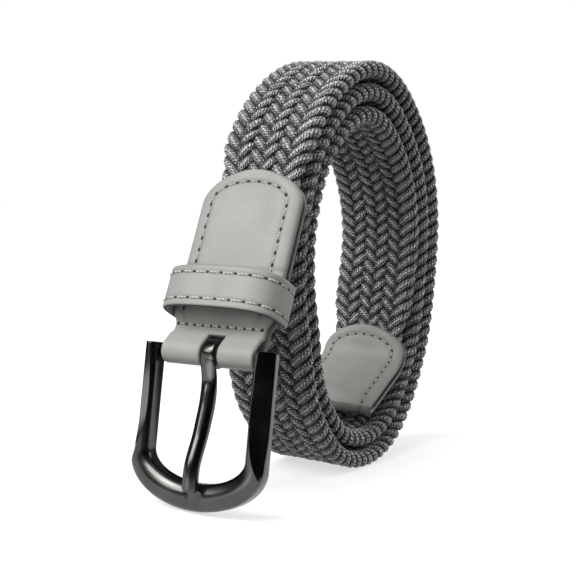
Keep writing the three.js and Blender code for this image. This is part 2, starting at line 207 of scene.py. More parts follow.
def smooth(x):
    """0 below 0, 1 above 1, and 3xx - 2xxx between."""
    x = np.clip(x, 0, 1)
    return x * x * (3 - 2 * x)


def curve_between(a, b, c, d, t):
    """A smooth curve from b to c as t goes from 0 to 1. Its slope at either is half the way
    between the values before and after it."""
    return b + 0.5 * t * (c - a + t * (2 * a - 5 * b + 4 * c - d + t * (3 * (b - c) + d - a)))


def unit(vectors):
    """The vectors at length 1."""
    return vectors / np.linalg.norm(vectors, axis=-1, keepdims=True)


def run_length(points):
    """How far along a row of points each of them is."""
    return np.concatenate([[0], np.cumsum(np.linalg.norm(np.diff(points, axis=0), axis=1))])


def coil_points(angle):
    """Points of the coil's middle line at unrolled angles in degrees: a smooth curve through the
    outermost turn's radii, less the steps that later turns take inwards."""
    angle = np.asarray(angle, float)
    row = np.floor(angle % 360 / 30).astype(int)
    radii = (COIL_RADII[(row + k) % 12] for k in (-1, 0, 1, 2))
    radius = curve_between(*radii, angle % 360 / 30 - row)
    for start, end, inward in WRAP_STEPS:
        radius = radius - inward * smooth((start - angle) / (start - end))
    from_tab = TAB_SIDEWAYS - TAB_LENGTH * math.sin(TAB_ROLL)
    x = from_tab * (1 - smooth((COIL_START - angle) / 60)) - SIDEWAYS * (COIL_START - angle) / 360
    turn = np.radians(angle)
    return np.stack([x, COIL_CENTRE[0] + radius * np.cos(turn),
                     COIL_CENTRE[1] + radius * np.sin(turn)], -1)


def heading(points):
    """The unit way from the first of two points to the second, without its X part."""
    return unit((points[1] - points[0]) * (0, 1, 1))


TAB_UP = heading(coil_points([COIL_START + 0.5, COIL_START - 0.5]))
TAB_FOOT = coil_points(COIL_START) - TAB_UP * TAB_LENGTH
TAB_FOOT[0] = TAB_SIDEWAYS
TAB_LEAN = math.atan2(TAB_UP[1], TAB_UP[2])


def on_tab(across, out, along):
    """Points in the tab's own directions: across it, outward from its middle and up from the
    buckle's bar. It leans forward with the strap and is rolled a little in its own plane."""
    across, out, along = np.broadcast_arrays(across, out, along)
    roll, lean = -TAB_ROLL, -TAB_LEAN
    x = across * math.cos(roll) + along * math.sin(roll)
    z = -across * math.sin(roll) + along * math.cos(roll)
    y = -out
    return TAB_FOOT + np.stack([x, y * math.cos(lean) - z * math.sin(lean),
                                y * math.sin(lean) + z * math.cos(lean)], -1)


def smooth_mesh(name, points, faces):
    """A smooth-shaded mesh from points in millimetres."""
    mesh = bpy.data.meshes.new(name)
    mesh.from_pydata((points.reshape(-1, 3) * MM).tolist(), [], faces)
    mesh.polygons.foreach_set("use_smooth", np.ones(len(mesh.polygons), bool))
    mesh.update()
    return mesh


def mark_points(mesh, mark, values):
    """Gives each point of the mesh a value that its material can read."""
    layer = mesh.attributes.new(mark, "FLOAT", "POINT")
    layer.data.foreach_set("value", values.astype(np.float32).ravel())


def look_outward(points, quads):
    """Whether faces look outward: the signed tetrahedra between them and the middle add up to the
    volume inside."""
    points = points - points.mean(axis=0)
    p, q, r, s = (points[quads[:, k]] for k in range(4))
    return np.einsum("ij,ij->", p, np.cross(q, r)) + np.einsum("ij,ij->", p, np.cross(r, s)) > 0


def leather_mesh(name, top, bottom, marks, kept=None, closed=False):
    """A sheet with thickness: a grid of points on its top, the same grid on its bottom, and walls
    wherever a kept cell has no kept neighbour. Closed grids join their last row to their first.
    Marks are values for the points of one grid that both get."""
    rows, columns = top.shape[:2]
    cell_rows = rows if closed else rows - 1
    kept = np.ones((cell_rows, columns - 1), bool) if kept is None else kept
    index = np.arange(rows * columns).reshape(rows, columns)
    if closed:
        index = np.concatenate([index, index[:1]])
    corners = (index[:-1, :-1], index[1:, :-1], index[1:, 1:], index[:-1, 1:])
    a, b, c, d = (corner[kept] for corner in corners)
    below = rows * columns
    faces = [np.stack([a, b, c, d], -1), np.stack([d, c, b, a], -1) + below]
    solid = kept.astype(int)
    sides = np.diff(np.pad(solid, ((0, 0), (1, 1))), axis=1)
    solid = np.concatenate([solid[-1:], solid]) if closed else np.pad(solid, ((1, 1), (0, 0)))
    ends = np.diff(solid, axis=0)
    for step, down, right, turn in ((sides, 1, 0, 1), (ends, 0, 1, -1)):
        for way in (1, -1):
            r, k = np.nonzero(step == way)
            near, far = index[r, k], index[r + down, k + right]
            wall = np.stack([near, near + below, far + below, far], -1)
            faces.append(wall[:, ::way * turn])
    faces = np.concatenate(faces)
    points = np.concatenate([top.reshape(-1, 3), bottom.reshape(-1, 3)])
    if not look_outward(points, faces):
        faces = faces[:, ::-1]
    used, faces = np.unique(faces, return_inverse=True)
    mesh = smooth_mesh(name, points[used], faces.reshape(-1, 4).tolist())
    for mark, values in marks.items():
        mark_points(mesh, mark, np.concatenate([values.ravel(), values.ravel()])[used])
    return mesh


def rounded_edge(inset, thickness=LEATHER, reach=0.95):
    """Half the leather's thickness at a distance inside its cut outline: a quarter round."""
    return thickness / 2 * np.sqrt(1 - (1 - np.clip(inset / reach, 0.02, 1)) ** 2)


def groove(distance, width):
    """A bell curve, 1 at distance 0."""
    return np.exp(-(distance / width) ** 2)


def spread_columns(count):
    """Shares from -1 to 1 across a strip, closer together near its edges."""
    return np.sin(np.pi / 2 * np.linspace(-1, 1, count))


def arch_inset(across, past, half, wide, long):
    """The distance inside a strip's cut outline: from its sides, or past the start of its arch
    from a half ellipse, by the ellipse's equation over its slope."""
    past = np.clip(past, 1e-6, None)[:, None]
    near = np.hypot(across / wide, past / long)
    slope = np.hypot(across / wide ** 2, past / long ** 2) / near
    return np.where(past > 1e-5, (1 - near) / slope, half[:, None] - np.abs(across))


def pressed_in(out, press):
    """A ply's distance out, drawn in to that of its sewn edge where it is pressed."""
    return out * (1 - press) + np.sign(out) * np.minimum(EDGE_OUT, abs(out)) * press


def both_faces(along, out, normal, thick, dip):
    """Places (along, out) on the two faces of a strip, to either side of its middle line. The
    outer face also dips."""
    for move in (thick - dip, -thick):
        yield along[:, None] + normal[:, :1] * move, out + normal[:, 1:] * move


def tab_profile():
    """The strip's middle line seen from the side, as (along, outward, half width, firmness) rows:
    down the front from the arch, in over the sew row, out and round the eye of the prong, and up
    the back. Firmness 1 is sewn to the strap, and its outer edges are pressed in."""
    arch = np.radians(np.linspace(88.5, 10, 34))
    rows = [np.stack([ARCH_START + ARCH_LENGTH * np.sin(arch), 0 * arch + PLY_OUT,
                      TAB_HALF * np.cos(arch), 0 * arch + 1], -1)]
    down = np.concatenate([np.arange(51.0, 14.6, -0.7), np.arange(14.5, 8.5, -0.35)])
    swell = smooth((down - SEW_ROW) / 5)
    rows.append(np.stack([down, EDGE_OUT + (PLY_OUT - EDGE_OUT) * swell,
                          FOLD_HALF + (TAB_HALF - FOLD_HALF) * swell, 0 * down + 1], -1))
    t = np.linspace(0.08, 0.92, 10)[:, None]
    corners = np.array([(8.45, 1.25), (7.1, 1.55), (4.0, 3.8), (1.807, 5.08)])
    curve = ((1 - t) ** 3 * corners[0] + 3 * t * (1 - t) ** 2 * corners[1]
             + 3 * t * t * (1 - t) * corners[2] + t ** 3 * corners[3])
    rows.append(np.column_stack([curve, np.full(len(t), FOLD_HALF), 1 - t[:, 0]]))
    turn = np.radians(np.arange(-35, 181, 7.0))
    rows.append(np.stack([-FOLD_RADIUS * np.sin(turn), FOLD_CENTRE + FOLD_RADIUS * np.cos(turn),
                          0 * turn + FOLD_HALF, 0 * turn], -1))
    rows.append(np.array([(1.5, -0.82, FOLD_HALF, 0), (3.0, -1.02, FOLD_HALF, 0.3),
                          (4.6, -1.16, FOLD_HALF, 0.6), (6.4, -1.23, FOLD_HALF, 1)]))
    back = np.concatenate([rows[0], rows[1]])[::-1] * (1, -1, 1, 1)
    return np.concatenate(rows + [back])


def tab_surface():
    """The tab's top and bottom grids, the marks on them and which cells the slot leaves. The outer
    faces dip along the stitched border and below the keeper, where the strip creases, and a mark
    of painted shade darkens both dips."""
    rows = tab_profile()
    along, out, half, firm = rows.T
    way = unit(np.gradient(rows[:, :2], axis=0))
    normal = np.stack([way[:, 1], -way[:, 0]], -1)
    share = spread_columns(67)
    for side in SLOT_SIDES:
        share[np.abs(share - side / FOLD_HALF).argmin()] = side / FOLD_HALF
    across = share[None, :] * half[:, None]
    inset = arch_inset(across, along - ARCH_START, half, TAB_HALF, ARCH_LENGTH)
    sewn = firm[:, None] * (along > SEW_ROW - 3)[:, None]
    middle = pressed_in(out[:, None], np.abs(share[None, :]) ** 8 * sewn)
    border = groove(inset - STITCH_INSET, STITCH_GROOVE) * smooth((along - SEW_ROW) / 4)[:, None]
    crease = groove(along[:, None] - CREASE_AT - CREASE_BOW * across ** 2, 0.7) * (out > 0)[:, None]
    dip = STITCH_DIP * border + CREASE_DIP * crease
    top, bottom = (on_tab(across, y, z)
                   for z, y in both_faces(along, middle, normal, rounded_edge(inset), dip))
    kept = np.ones((len(rows) - 1, len(share) - 1), bool)
    near_bar = (along < SLOT_REACH) & (np.hypot(along, out - FOLD_CENTRE) < SLOT_REACH)
    slot_rows = np.nonzero(near_bar)[0]
    left, right = (np.abs(share - x / FOLD_HALF).argmin() for x in SLOT_SIDES)
    kept[slot_rows[0]:slot_rows[-1], left:right] = False
    # The second mark is painted shade in the stitch grooves and the crease.
    marks = {"cut_edge": groove(inset, 0.3), "groove_shade": np.clip(border + crease, 0, 1)}
    return top, bottom, marks, kept


def maths(tree, operation, *values):
    """The result of a math node on values or on other nodes' outputs."""
    node = tree.nodes.new("ShaderNodeMath")
    node.operation = operation
    return fill(tree, node, dict(enumerate(values))).outputs[0]


def noise(tree, vector, scale, detail=2):
    """A noise texture's value."""
    return add_node(tree, "ShaderNodeTexNoise",
                    {"Vector": vector, "Scale": scale, "Detail": detail}).outputs["Fac"]


def colour_ramp(tree, factor, *stops):
    """The colour at a factor between stops, each a position and a colour."""
    node = add_node(tree, "ShaderNodeValToRGB", {"Fac": factor})
    elements = node.color_ramp.elements
    for position, _ in stops[1:-1]:
        elements.new(position)
    for element, (position, colour) in zip(elements, stops):
        element.position, element.color = position, (*colour, 1)
    return node.outputs["Color"]


def bump(tree, shader, height, strength, distance):
    """Relief from a height, on the shader's normal."""
    relief = add_node(tree, "ShaderNodeBump",
                      {"Strength": strength, "Distance": distance, "Height": height})
    tree.links.new(relief.outputs[0], shader.inputs["Normal"])


def object_place(tree):
    """The place on the piece that is shaded, in metres."""
    return tree.nodes.new("ShaderNodeTexCoord").outputs["Object"]


def grain_group():
    """Leather grain as a node group: small pebbles, finer pores and slow blotches, all in the
    object's own coordinates. It puts out a height and a tone around 0.5."""
    group = bpy.data.node_groups.new("leather_grain", "ShaderNodeTree")
    for name, kind in (("Vector", "NodeSocketVector"), ("Pebbles", "NodeSocketFloat")):
        group.interface.new_socket(name=name, in_out="INPUT", socket_type=kind)
    for name in ("Height", "Tone"):
        group.interface.new_socket(name=name, in_out="OUTPUT", socket_type="NodeSocketFloat")
    start = group.nodes.new("NodeGroupInput").outputs
    pebbles = add_node(group, "ShaderNodeTexVoronoi", {"Vector": start["Vector"], "Scale": 1500})
    pores = noise(group, start["Vector"], 3200)
    blotches = noise(group, start["Vector"], 90, 5)
    tone = add_node(group, "ShaderNodeMix", {"Factor": 0.25, "A": blotches, "B": pores})
    height = maths(group, "MULTIPLY_ADD", pebbles.outputs["Distance"], start["Pebbles"], pores)
    add_node(group, "NodeGroupOutput", {"Height": height, "Tone": tone.outputs["Result"]})
    return group


def leather_finish(name, light, dark, relief):
    """Grey leather: the grain's tone runs between two colours, cut edges are raw and darker, and
    painted shade makes the stitch grooves and the crease a little darker."""
    material, tree, shader = plain_finish(name, light, 0.5, 0.35)
    grain = tree.nodes.new("ShaderNodeGroup")
    grain.node_tree = LEATHER_GRAIN
    fill(tree, grain, {"Vector": object_place(tree), "Pebbles": 0.8})
    colour = colour_ramp(tree, grain.outputs["Tone"], (0.35, dark), (0.65, light))
    # The first mark paints shade into the grooves and the crease; the second darkens the cut edges.
    for mark, shade, amount in (("groove_shade", 0.72, 0.8), ("cut_edge", 0.62, 0.8)):
        worn = tree.nodes.new("ShaderNodeAttribute")
        worn.attribute_name = mark
        mix = tree.nodes.new("ShaderNodeMix")
        mix.data_type = "RGBA"
        fill(tree, mix, {"Factor": maths(tree, "MULTIPLY", worn.outputs["Fac"], amount),
                         "A": colour, "B": (*(x * shade for x in dark), 1)})
        colour = mix.outputs["Result"]
    rough = add_node(tree, "ShaderNodeMapRange",
                     {"Value": grain.outputs["Tone"], "To Min": 0.42, "To Max": 0.58})
    fill(tree, shader, {"Base Color": colour, "Roughness": rough.outputs[0]})
    bump(tree, shader, grain.outputs["Height"], relief, 0.0001)
    return material


LEATHER_GRAIN = grain_group()
grey_leather = leather_finish("grey_leather", (0.328, 0.330, 0.310), (0.276, 0.279, 0.262), 0.5)
tab = add_piece("leather_tab", leather_mesh("leather_tab", *tab_surface()), grey_leather)
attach(tab, "strap")
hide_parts("tab_leather")


# The tab's seams: a row of stitches inside its border, front and back, and a row right across it
# just above the fold. The thread is light grey, and each stitch ends in a needle hole shown as a
# dark spot of painted shade.
THREAD_STATIONS, THREAD_SIDES, HOLE_SIDES, HOLE_DEPTH = 9, 6, 10, 0.10
BORDER_FROM, BORDER_SUNK = 13.5, 0.26


def ring_turns(count):
    """Angles that divide a full turn evenly."""
    return 2 * np.pi * np.arange(count) / count


def tube_mesh(name, *grids, closed=False):
    """Grids of points, each a row of rings, joined into skins with flat ends, or into rings of
    rings if closed. All are one mesh, and their faces look outward."""
    points, faces, first = [], [], 0
    for rings in grids:
        rows, columns = rings.shape[:2]
        index = np.arange(rows * columns).reshape(rows, columns)
        wrapped = np.concatenate([index, index[:1]]) if closed else index
        after = np.roll(wrapped, -1, axis=1)
        quads = np.stack([wrapped[:-1], wrapped[1:], after[1:], after[:-1]], -1).reshape(-1, 4)
        ends = [] if closed else [first + index[0], first + index[-1, ::-1]]
        points.append(rings.reshape(-1, 3))
        outward = look_outward(points[-1], quads)
        made = (first + quads).tolist() + [end.tolist() for end in ends]
        faces += made if outward else [face[::-1] for face in made]
        first += rows * columns
    return smooth_mesh(name, np.concatenate(points), faces)


def stitch_mesh(name, spine, normal, radius, lift):
    """Threads as small closed tubes. Each is a row of points along its seam; it rises out of one
    hole and dips into the next as half a sine wave."""
    share = np.linspace(0, 1, spine.shape[1])
    spine = spine + normal * (lift * np.sin(np.pi * share) ** 0.6 - radius * 0.7)[None, :, None]
    way = unit(np.gradient(spine, axis=1))
    side = unit(np.cross(way, normal))
    up = np.cross(side, way)
    turn = ring_turns(THREAD_SIDES)
    thin = radius * np.clip(0.35 + 1.6 * np.sin(np.pi * share), 0, 1)[None, :, None, None]
    ring = (spine[:, :, None] + thin * (np.cos(turn)[:, None] * side[:, :, None]
                                        + np.sin(turn)[:, None] * up[:, :, None]))
    return tube_mesh(name, *ring)


def hole_mesh(name, middle, way, normal, long, wide):
    """Needle holes as small flat ellipsoids, half sunk: points on five rings, stretched along the
    seam."""
    side = np.cross(way, normal)
    tilt = np.radians([-90, -40, 0, 40, 90])
    turn = ring_turns(HOLE_SIDES)
    spread = np.clip(np.cos(tilt), 0.02, 1)
    grid = (middle[:, None, None]
            + spread[:, None, None] * (long * np.cos(turn)[:, None] * way[:, None, None]
                                       + wide * np.sin(turn)[:, None] * side[:, None, None])
            + HOLE_DEPTH * np.sin(tilt)[:, None, None] * normal[:, None, None])
    return tube_mesh(name, *grid)


def sew(name, place, start, end, pitch, thread, radius, lift, hole):
    """A seam between two distances along a line. place(distance) gives the line's points and the
    surface's normals. Holes lie a pitch apart, and thread covers its share of each gap."""
    count = max(int(round((end - start) / pitch)), 1)
    holes = start + (end - start) * np.arange(count + 1) / count
    share = np.linspace(0.5 - thread / 2, 0.5 + thread / 2, THREAD_STATIONS)
    middle, normal = (x.reshape(count, THREAD_STATIONS, 3) for x in place(
        (holes[:-1, None] + np.diff(holes)[:, None] * share).ravel()))
    threads = add_piece(name + "_thread", stitch_mesh(name, middle, normal, radius, lift), THREAD)
    middle, normal = place(holes)
    way = unit(place(holes + 0.2)[0] - place(holes - 0.2)[0])
    dots = add_piece(name + "_holes", hole_mesh(name, middle + 0.02 * normal, way, normal, *hole),
                     PAINTED_SHADE)
    for piece in (threads, dots):
        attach(piece, "strap")


def thread_finish():
    """Waxed light grey thread with its twist as fine slanting bands."""
    material, tree, shader = plain_finish("seam_thread", (0.50, 0.50, 0.475), 0.55, 0.4)
    twist = add_node(tree, "ShaderNodeTexWave",
                     {"Vector": object_place(tree), "Scale": 450, "Distortion": 1.5})
    twist.bands_direction = "DIAGONAL"
    fill(tree, shader, {"Base Color": colour_ramp(
        tree, twist.outputs["Fac"], (0, (0.28, 0.28, 0.265)), (1, (0.56, 0.56, 0.535)))})
    return material


def hole_finish():
    """Painted shade for needle holes and the keeper's gap between plies: near black, a little
    uneven.
    """
    material, tree, shader = plain_finish("painted_shade", (0.03, 0.03, 0.028), 0.9, 0.1)
    fill(tree, shader, {"Base Color": colour_ramp(
        tree, noise(tree, object_place(tree), 2500),
        (0, (0.012, 0.012, 0.011)), (1, (0.07, 0.07, 0.065)))})
    return material


def border_line(half, reach, straight):
    """A border as rows of (distance along it, across, along): by one side over the straight
    places, round a half ellipse past the last of them, and back by the other side."""
    turn = np.linspace(0, np.pi, 200)
    across = np.concatenate([0 * straight - half, -half * np.cos(turn), 0 * straight + half])
    along = np.concatenate([straight, straight[-1] + reach * np.sin(turn), straight[::-1]])
    return run_length(np.stack([across, along], -1)), across, along


def tab_face(x, out, z, side):
    """Points on one face of the tab, and the face's normals."""
    up = on_tab(0.0, 1.0, 0.0) - on_tab(0.0, 0.0, 0.0)
    return on_tab(x, side * out, z), side * np.broadcast_to(up, (len(x), 3))


def tab_border(side):
    """The border line on one face. Its outward place is the face's own, dip included."""
    far, across, along = border_line(TAB_HALF - STITCH_INSET, ARCH_LENGTH - STITCH_INSET,
                                     np.linspace(BORDER_FROM, ARCH_START, 100))

    def place(distance):
        x, z = np.interp(distance, far, across), np.interp(distance, far, along)
        out = PLY_OUT + (EDGE_OUT - PLY_OUT) * np.abs(x / TAB_HALF) ** 8
        return tab_face(x, out + LEATHER / 2 - BORDER_SUNK, z, side)
    return place, far[-1]


def sew_row(side):
    """The straight seam across the tab above its fold, on one face."""
    def place(distance):
        return tab_face(distance - FOLD_HALF, EDGE_OUT + LEATHER / 2, SEW_ROW + 0.25, side)
    return place


THREAD, PAINTED_SHADE = thread_finish(), hole_finish()
for face, side in (("front", 1), ("back", -1)):
    border, length = tab_border(side)
    sew(f"tab_border_{face}", border, 0, length, pitch=3.9, thread=0.58, radius=0.24, lift=0.28,
        hole=(0.72, 0.55))
    sew(f"tab_seam_{face}", sew_row(side), 1.4, 2 * FOLD_HALF - 1.4, pitch=3.1, thread=0.74,
        radius=0.42, lift=0.5, hole=(0.7, 0.65))


# The keeper is a loop of the same leather, lined and closed at the back. It goes round the tab
# and stands proud in front, so that the belt's free end can pass under it.
KEEPER_FOOT, KEEPER_HEIGHT = 11.8, 13.0
KEEPER_HALF, KEEPER_FRONT, KEEPER_BACK = 19.95, 12.4, 5.7
KEEPER_STITCH, KEEPER_DIP, KEEPER_SUNK = 2.3, 0.22, 0.2


def keeper_section(turn, inward):
    """The loop seen from above at angles round it, moved in by a distance, as rows of (across,
    forward): a superellipse, rounder in front than behind."""
    sine, cosine = np.sin(turn), np.cos(turn)
    power = np.where(sine > 0, 2 / 3.2, 2 / 6)
    reach = np.where(sine > 0, KEEPER_FRONT - inward, -(KEEPER_BACK - inward))
    across = (KEEPER_HALF - inward) * np.sign(cosine) * np.abs(cosine) ** power
    return np.stack([across, reach * np.abs(sine) ** power], -1)


def keeper_round():
    """Many angles round the loop, and how far round it each of them is."""
    turn = np.linspace(0, 2 * np.pi, 4001)
    return turn, run_length(keeper_section(turn, LEATHER / 2))


def keeper_ply(name, thickness, inward, proud, material, dip=0.0):
    """A ring of leather of a thickness, its middle moved in from the loop's outside, and standing
    proud of the loop's height by a little. Its outer face dips along the stitch rows."""
    turn, far = keeper_round()
    turn = np.interp(np.linspace(0, far[-1], 240, endpoint=False), far, turn)
    ring = keeper_section(turn, inward)
    way = unit(np.roll(ring, -1, axis=0) - np.roll(ring, 1, axis=0))
    normal = np.stack([way[:, 1], -way[:, 0]], -1)
    up, half = spread_columns(35), KEEPER_HEIGHT / 2 + proud
    height = KEEPER_FOOT + KEEPER_HEIGHT / 2 + up * half
    inset = (1 - np.abs(up)) * half
    row = groove(inset - KEEPER_STITCH, 0.6)
    thick = rounded_edge(inset, thickness, 0.6)
    top, bottom = (on_tab(x, y, height[None, :]) for x, y in both_faces(
        ring[:, 0], ring[:, 1:], normal, thick[None, :], dip * row[None, :]))
    # The second mark is painted shade along the stitch rows.
    marks = {"cut_edge": np.tile(groove(inset, 0.2), (len(ring), 1)),
             "groove_shade": np.tile(0.8 * row, (len(ring), 1))}
    piece = add_piece(name, leather_mesh(name, top, bottom, marks, closed=True), material)
    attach(piece, "strap")
    return piece


def keeper_row(height):
    """A stitch row round the loop's outside at a height, from the point straight at the back."""
    turn, far = keeper_round()
    start = np.interp(1.5 * np.pi, turn, far)

    def place(distance):
        angle = np.interp((distance + start) % far[-1], far, turn)
        x, y = keeper_section(angle, KEEPER_SUNK).T
        way = unit(keeper_section(angle + 0.004, KEEPER_SUNK)
                   - keeper_section(angle - 0.004, KEEPER_SUNK))
        normal = on_tab(way[:, 1], -way[:, 0], 0.0) - on_tab(0.0, 0.0, 0.0)
        return on_tab(x, y, height), normal
    return place, far[-1]


keeper = keeper_ply("keeper_outer", 0.85, 0.43, 0.0, grey_leather, KEEPER_DIP)
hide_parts("keeper_loop")
keeper_ply("keeper_lining", 0.55, 1.31, 0.0, grey_leather)
# A thin near-black ply between the outer ply and the lining, a little proud of both: painted shade
# for the gap between them.
keeper_ply("keeper_gap_shade", 0.30, 0.97, 0.06, PAINTED_SHADE)
for name, height in (("lower", KEEPER_FOOT + KEEPER_STITCH),
                     ("upper", KEEPER_FOOT + KEEPER_HEIGHT - KEEPER_STITCH)):
    row, length = keeper_row(height)
    sew(f"keeper_{name}", row, 0, length, pitch=4.6, thread=0.80, radius=0.36, lift=0.42,
        hole=(0.55, 0.5))


# The strap is a flat braid of thirteen elastic cords, each over two others and then under two. A
# cord crosses from edge to edge and wraps round the edge in a fat loop. The coil is wound from it.
TIP_DROP, TIP_BEND_RADIUS, TIP_BEND, TIP_STRAIGHT = 9.4, 12.0, math.radians(50), 27.0
TIP_BELOW_COIL, TIP_NOSE = 1.2, 2.05
BRAID_CORDS, LOOP_PITCH, BRAID_HALF = 13, 4.65, 16.5
CORD_HALF_WIDTH, CORD_HALF_THICKNESS, CORD_SWING, CORD_STEP = 1.74, 1.44, 1.5, 0.85
SEWN_WIDTH, SEWN_THICKNESS = 0.885, 0.6
SEWN_TO, BRAID_FROM, BRAID_SHORT = 60.7, 13.5, 5.5
CORD_RIBS = np.array([  # across the cord, its height when flat, and its share of a round height
    (0.94, 0.28, 1), (0.80, 0.60, 1), (0.60, 0.84, 1), (0.36, 0.70, 0.8), (0.14, 1.0, 1),
    (-0.14, 1.0, 1), (-0.36, 0.70, 0.8), (-0.60, 0.84, 1), (-0.80, 0.60, 1), (-0.94, 0.28, 1)])


def strap_line():
    """The strap's middle line from the bar to the free end: straight up the tab, round the coil,
    straight down, forward round a bend and straight to the end."""
    start = coil_points(COIL_START)
    along = np.arange(0, TAB_LENGTH - 0.5, 1.0)
    tab_part = start - TAB_UP * TAB_LENGTH + along[:, None] * TAB_UP
    tab_part[:, 0] = TAB_SIDEWAYS - along * math.sin(TAB_ROLL)
    coil = coil_points(np.arange(COIL_START, COIL_END, -0.5))
    leave = coil_points(COIL_END)
    down = heading(coil_points([COIL_END + 0.5, COIL_END]))
    drop = leave + np.arange(0, TIP_DROP - 0.5, 1.0)[:, None] * down
    inner = np.array([0, down[2], -down[1]])
    turn = np.linspace(0, TIP_BEND, 16)[:, None]
    bend = leave + TIP_DROP * down + TIP_BEND_RADIUS * (
        inner * (1 - np.cos(turn)) + down * np.sin(turn))
    away = down * math.cos(TIP_BEND) + inner * math.sin(TIP_BEND)
    straight = bend[-1] + np.arange(1, TIP_STRAIGHT + 0.1, 1.0)[:, None] * away
    return np.concatenate([tab_part, coil, drop, bend, straight])


STRAP_LINE = strap_line()
STRAP_FAR = run_length(STRAP_LINE)
STRAP_WAY = np.gradient(STRAP_LINE, STRAP_FAR, axis=0)
STRAP_OUT = unit(np.stack([-STRAP_WAY[:, 2], STRAP_WAY[:, 1]], -1))
STRAP_LENGTH = STRAP_FAR[-1]
TIP_START = STRAP_LENGTH - TIP_STRAIGHT - TIP_BEND_RADIUS * TIP_BEND - TIP_DROP + TIP_BELOW_COIL
TIP_END = STRAP_LENGTH - TIP_NOSE


def on_strap(along, across, out):
    """Points at distances along the strap, across it and outward from its middle. What would lie
    below the floor is pressed flat on it."""
    along, across, out = np.broadcast_arrays(along, across, out)
    past = np.clip(along - STRAP_LENGTH, 0, None)
    x, y, z = (np.interp(along, STRAP_FAR, STRAP_LINE[:, k]) + past * STRAP_WAY[-1, k]
               for k in range(3))
    ny, nz = (np.interp(along, STRAP_FAR, STRAP_OUT[:, k]) for k in range(2))
    return np.stack([x + across, y + ny * out, np.maximum(z + nz * out, 0)], -1)


def cord_course(cord):
    """A cord's middle line as (along, across, out) rows, how far it has rolled round its edge, and
    how near it is to turning one. Its place in its period gives the column it is in, 0 to 13 from
    one edge. It crosses at an even rate, and near an edge it follows a quarter circle as deep as
    its swing. In and out it follows a sine of the column, made squarer by a tanh. Rows are closer
    together in the turns."""
    period = BRAID_CORDS * LOOP_PITCH
    steps = np.arange(BRAID_FROM, TIP_END - BRAID_SHORT, CORD_STEP) / period + cord / BRAID_CORDS
    phase = steps - 0.42 / (4 * math.pi) * np.sin(4 * np.pi * steps)
    along = (phase - cord / BRAID_CORDS) * period
    phase = phase % 1
    column = 2 * BRAID_CORDS * np.minimum(phase, 1 - phase)
    edge = np.minimum(column, BRAID_CORDS - column)
    corner, centre = 0.99, BRAID_CORDS / 2
    reach = BRAID_HALF - 1.2 * CORD_HALF_THICKNESS
    turning = np.clip(edge / corner, 0, 1) * np.pi / 2
    inward = CORD_SWING * (1 - np.cos(turning))
    inward = inward + np.clip(edge - corner, 0, None) * (reach - CORD_SWING) / (centre - corner)
    across = np.sign(column - centre) * (reach - inward)
    squareness = 1.9
    over = np.sin(np.pi * (np.clip(column, 1.5, 11.5) - 0.5) / 2)
    over = np.tanh(squareness * over) / math.tanh(squareness) * np.where(phase < 0.5, -1, 1)
    out = CORD_SWING * over * np.sin(turning)
    roll_share = 0.05
    to_far = np.clip((phase - 0.5) / roll_share, -1, 1)
    to_near = np.clip(((phase + 0.5) % 1 - 0.5) / roll_share, -1, 1)
    roll = 90 * (1 + np.sin(np.pi / 2 * np.where(np.abs(to_near) < 1, -to_near, to_far)))
    return np.stack([along, across, out], -1), np.radians(roll), np.clip(1 - edge / 1.4, 0, 1)


def cord_section(turning):
    """The cord's section as (across it, up) points: flat with three ribs where it lies in the
    braid, and rounder and a little fatter where it turns an edge."""
    x, flat, share = CORD_RIBS.T
    arched = 1.2 * np.sqrt(1 - x * x) * share
    height = flat + (arched - flat) * turning[:, None]
    wide = np.broadcast_to(x, height.shape)
    side = np.ones((len(turning), 1))
    return (np.concatenate([side, wide, -side, wide[:, ::-1]], 1) * CORD_HALF_WIDTH,
            np.concatenate([0 * side, height, 0 * side, -height[:, ::-1]], 1) * CORD_HALF_THICKNESS)


def cord_mesh(name, cord):
    """The section carried along the cord's course. Its up direction rolls with the course and is
    kept square to it; the strap's sewn ends are narrower and thinner. The UV map holds the
    distance round the cord and along it, in centimetres, and the valley shade mark is painted
    shade, 1 where the cord's surface is low or passes below another cord."""
    course, roll, turning = cord_course(cord)
    way = unit(np.gradient(course, axis=0))
    up = np.stack([0 * roll, np.sin(roll), np.cos(roll)], -1)
    up = unit(up - np.einsum("ij,ij->i", up, way)[:, None] * way)
    side = np.cross(way, up)
    wide, high = cord_section(turning)
    ring = course[:, None] + wide[..., None] * side[:, None] + high[..., None] * up[:, None]
    along = ring[..., 0]
    sewn = np.maximum(1 - smooth((along - SEWN_TO) / 10), smooth((along - TIP_START + 9) / 10))
    mesh = tube_mesh(name, on_strap(along, ring[..., 1] * (1 + (SEWN_WIDTH - 1) * sewn),
                                    ring[..., 2] * (1 + (SEWN_THICKNESS - 1) * sewn)))
    # Painted shade: this mark darkens the cord's low sides and where it passes under another cord.
    dip = 1 - np.clip(np.abs(high) / CORD_HALF_THICKNESS, 0, 1) ** 1.5
    sunk = 1 - np.abs(course[:, 2:]) / CORD_SWING
    mark_points(mesh, "valley_shade", np.clip(dip + 0.9 * sunk * (1 - turning[:, None]), 0, 1))
    far = run_length(course)[:, None] / 10
    around = run_length(np.stack([wide[0], high[0]], -1))[None, :] / 10
    place = np.stack(np.broadcast_arrays(around, far), -1).reshape(-1, 2)
    corner = np.empty(len(mesh.loops), np.int32)
    mesh.loops.foreach_get("vertex_index", corner)
    uv_map = mesh.uv_layers.new(name="UVMap")
    uv_map.data.foreach_set("uv", place[corner].astype(np.float32).ravel())
    return mesh


